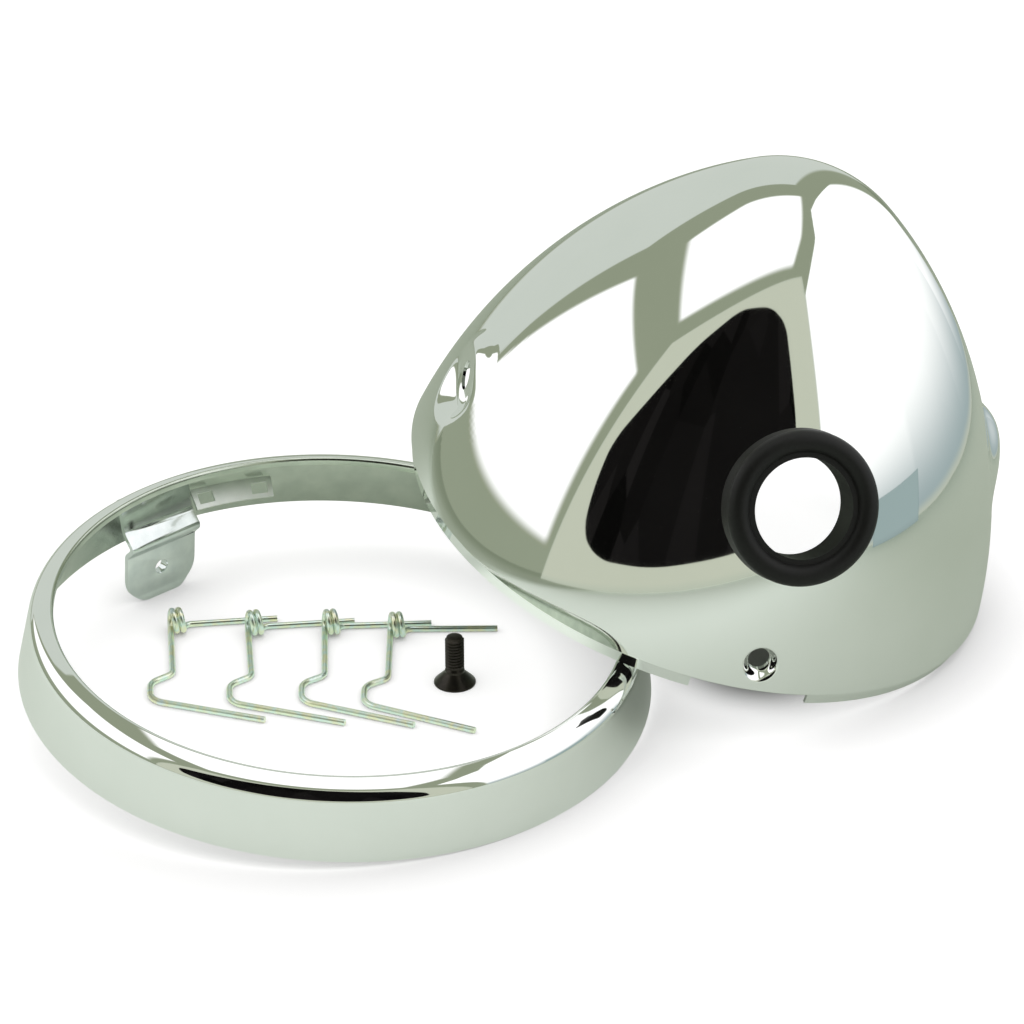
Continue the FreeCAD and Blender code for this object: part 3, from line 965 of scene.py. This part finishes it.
def dark_room():
    """Dim room seen through the tent's opening."""
    material, tree = bare_material("dark_room")
    place = add_node(tree, "ShaderNodeTexCoord", {}).outputs["Object"]
    sockets = {"Vector": place, "Scale": (3.4, 1.0, 0.9), "Rotation": (0, 0.25, 0)}
    stretch = add_node(tree, "ShaderNodeMapping", sockets)
    blotch = add_node(tree, "ShaderNodeTexVoronoi", {"Vector": stretch.outputs["Vector"], "Scale": 1.3})
    shapes = add_node(tree, "ShaderNodeValToRGB", {"Fac": blotch.outputs["Color"]})
    for element, colour in zip(shapes.color_ramp.elements, ROOM_COLOURS):
        element.color = colour
    glow_with(tree, shapes.outputs["Color"])
    return material


def stand_up(obj, name, material):
    """Name a studio screen, dress it, keep it out of the camera's own view and let it cast no shadow."""
    obj.name = name
    obj.data.materials.append(material)
    obj.visible_camera = False
    obj.visible_shadow = False


def screen(name, corners, material):
    """Flat studio screen through four corners, its first side running along the screen."""
    bpy.ops.object.select_all(action="DESELECT")
    bpy.ops.mesh.primitive_plane_add(size=1, location=(0, 0, 0))
    obj = bpy.context.object
    for vertex, corner in zip(obj.data.vertices, (corners[0], corners[1], corners[3], corners[2])):
        vertex.co = corner
    stand_up(obj, name, material)


def curved_screen(name, plan, material):
    """Upright cloth along a line on the floor, with the height of its top edge at each point of the line."""
    line = [Vector((x, y, 0)) for x, y, high in plan]
    obj = draw_line(name, line)
    bpy.ops.mesh.select_all(action="SELECT")
    bpy.ops.mesh.extrude_edges_move(TRANSFORM_OT_translate={"value": (0, 0, 1)})
    bpy.ops.object.mode_set(mode="OBJECT")
    lengths = [0.0]
    for before, after in zip(line, line[1:]):
        lengths.append(lengths[-1] + (after - before).length)
    sheet = obj.data.uv_layers.active
    for loop in obj.data.loops:
        point = obj.data.vertices[loop.vertex_index].co
        nearest = min(range(len(line)), key=lambda k: (line[k].xy - point.xy).length)
        sheet.data[loop.index].uv = (lengths[nearest] / lengths[-1], point.z)
    for vertex in obj.data.vertices:
        nearest = min(range(len(line)), key=lambda k: (line[k].xy - vertex.co.xy).length)
        vertex.co.z *= plan[nearest][2]
    stand_up(obj, name, material)


def make_opening(place, outline, material):
    """Dark opening in the tent's front, its corners rounded."""
    bpy.ops.object.select_all(action="DESELECT")
    bpy.ops.mesh.primitive_circle_add(vertices=len(outline), fill_type="NGON", location=(0, 0, 0))
    obj = bpy.context.object
    for vertex, (x, z) in zip(obj.data.vertices, outline):
        vertex.co = place + Vector((x, 0, z))
    bpy.ops.object.mode_set(mode="EDIT")
    bpy.ops.mesh.select_all(action="SELECT")
    bpy.ops.mesh.bevel(offset=OPENING_ROUND, segments=OPENING_STEPS, affect="VERTICES")
    bpy.ops.object.mode_set(mode="OBJECT")
    stand_up(obj, "dark_opening", material)


def mirrored_floor(tree, place):
    """Painted reflection of the floor in the polished metal: pale in front, with painted shade darkening it
    to the rear and far to the left.
    """
    to_rear = step(tree, measure(tree, "DOT_PRODUCT", place, SHADE_WAY), SHADE_SPAN)
    to_left = step(tree, split_axes(tree, place)["X"], FAR_LEFT_SPAN)
    return mix_colours(tree, reckon(tree, "MAXIMUM", to_rear, to_left), FLOOR_PALE, FLOOR_SHADED_REFLECTION)


def floor_shade(tree, place):
    """Share of light left on the floor close to the pieces as painted contact shade, with a painted dark spot
    of shade under the shell.
    """
    contact = add_node(tree, "ShaderNodeAmbientOcclusion", {"Distance": CONTACT_DISTANCE}, samples=1)
    near = step(tree, contact.outputs["AO"], CONTACT_SPAN, CONTACT_SHADE, "LINEAR")
    shade_under_shell = step(tree, measure(tree, "DISTANCE", place, SHADE_SPOT_UNDER_SHELL), SHADE_SPOT_SPAN)
    return reckon(tree, "MULTIPLY", near, shade_under_shell)


def make_floor():
    """White paper floor with painted soft contact shades, and a painted pale green reflection in the polished
    metal.
    """
    bpy.ops.object.select_all(action="DESELECT")
    bpy.ops.mesh.primitive_plane_add(size=FLOOR_SIZE, location=(0, 0, 0))
    floor = bpy.context.object
    floor.name = "floor"
    material, tree = bare_material("white_floor")
    path = add_node(tree, "ShaderNodeLightPath", {}).outputs
    place = add_node(tree, "ShaderNodeTexCoord", {}).outputs["Object"]
    mirrored = mirrored_floor(tree, place)
    tint = mix_colours(tree, path["Is Glossy Ray"], FLOOR_PAPER, mirrored)
    paper = add_node(tree, "ShaderNodeBsdfDiffuse", {"Color": tint})
    seen = reckon(tree, "MULTIPLY", path["Is Camera Ray"], floor_shade(tree, place))
    # Painted light: in the metal's reflections the floor glows, most inside the rim
    from_middle = measure(tree, "DISTANCE", place, (RIM_PLACE.x, RIM_PLACE.y, 0))
    in_rim_glow = step(tree, from_middle, IN_RIM_SPAN, IN_RIM_GLOW)
    strength = reckon(tree, "MULTIPLY_ADD", path["Is Glossy Ray"], in_rim_glow, seen)
    colour = mix_colours(tree, path["Is Glossy Ray"], WHITE, mirrored)
    glow = add_node(tree, "ShaderNodeEmission", {"Strength": strength, "Color": colour})
    both = add_node(tree, "ShaderNodeAddShader", {0: paper.outputs[0], 1: glow.outputs[0]})
    add_node(tree, "ShaderNodeOutputMaterial", {"Surface": both.outputs[0]})
    floor.data.materials.append(material)


def make_world():
    """Dull cloth between the screens, a little paler near the floor, and a white background."""
    world = bpy.data.worlds.new("tent")
    bpy.context.scene.world = world
    world.use_nodes = True
    tree = world.node_tree
    tree.nodes.clear()
    path = add_node(tree, "ShaderNodeLightPath", {}).outputs
    way = add_node(tree, "ShaderNodeTexCoord", {}).outputs["Generated"]
    rise = step(tree, split_axes(tree, way)["Z"], TENT_SPAN)
    cloth = mix_colours(tree, rise, TENT_LOW, TENT_HIGH)
    tent = add_node(tree, "ShaderNodeBackground", {"Color": cloth}).outputs[0]
    white = add_node(tree, "ShaderNodeBackground", {"Color": WHITE}).outputs[0]
    pick = add_node(tree, "ShaderNodeMixShader", {"Fac": path["Is Camera Ray"], 1: tent, 2: white})
    add_node(tree, "ShaderNodeOutputWorld", {"Surface": pick.outputs[0]})


def hang_softboxes():
    """White softboxes on the left and above."""
    softbox = lit_cloth("softbox_white", SOFTBOX_EDGE, SOFTBOX_WHITE, SOFTBOX_WHITE, softness=0.05)
    left = [LEFT_ORIGIN + SOFTBOX_REACH * Vector((-1, y, z)) for y, z in LEFT_CORNERS]
    screen("left_softbox", left, softbox)
    top = [TOP_ORIGIN + SOFTBOX_REACH * Vector((x, y, 1)) for x, y in TOP_CORNERS]
    screen("top_softbox", top, softbox)


def hang_cloths():
    """Cloths on the right, at the back and in front, a grey card on the right and the opening in front."""
    side = lit_cloth("side_cloth", SIDE_EDGE, SOFTBOX_WHITE, SIDE_FOOT, softness=0.015)
    curved_screen("right_cloth", RIGHT_PLAN, side)
    card = lit_cloth("grey_card", CARD_EDGE, CARD_MIDDLE, CARD_FOOT, softness=0.02)
    screen("grey_card", [Vector((CARD_DISTANCE, y, z)) for y, z in CARD_CORNERS], card)
    pale = lit_cloth("back_cloth", SOFTBOX_EDGE, BACK_PALE, BACK_PALE, softness=0.03)
    back = [BACK_ORIGIN + BACK_REACH * Vector((x, 1, z)) for x, z in BACK_CORNERS]
    screen("back_cloth", back, pale)
    cream = lit_cloth("front_cloth", FRONT_EDGE, FRONT_CREAM, FRONT_CREAM, softness=0.02)
    front = [FRONT_ORIGIN + Vector((x, -FRONT_SETBACK, z)) for x, z in FRONT_CORNERS]
    screen("front_cloth", front, cream)
    make_opening(FRONT_ORIGIN, OPENING_OUTLINE, dark_room())


def make_camera():
    lens = bpy.data.cameras.new("camera")
    camera = bpy.data.objects.new("camera", lens)
    bpy.context.scene.collection.objects.link(camera)
    lens.sensor_width = CAMERA_SENSOR
    lens.lens = CAMERA_LENS
    camera.location = CAMERA_PLACE
    camera.rotation_euler = (CAMERA_PITCH, 0, 0)
    bpy.context.scene.camera = camera


finish_cloud = cloud_group()
soft_edges = soft_edge_group()
chrome = chrome_finish()
wear(make_shell(), chrome)
shaded_plating = zinc_finish("shaded_inner_plating", INNER_SHADE_PLATING_COLOURS, roughness=0.2)
satin = zinc_finish("satin_zinc", SATIN_COLOURS, roughness=0.4)
make_rim(chrome, shaded_plating, satin)
wear(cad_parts["cable_grommet"], rubber_finish())
wear(make_bracket(), zinc_finish("bright_zinc", BRACKET_COLOURS, roughness=0.09))
clip_zinc = zinc_finish("passivated_zinc", CLIP_COLOURS, roughness=0.28)
for clip in make_clips():
    wear(clip, clip_zinc)
wear(make_screw(), oxide_finish())
make_floor()
make_world()
hang_softboxes()
hang_cloths()
make_camera()
bpy.context.scene.view_settings.view_transform = "Standard"
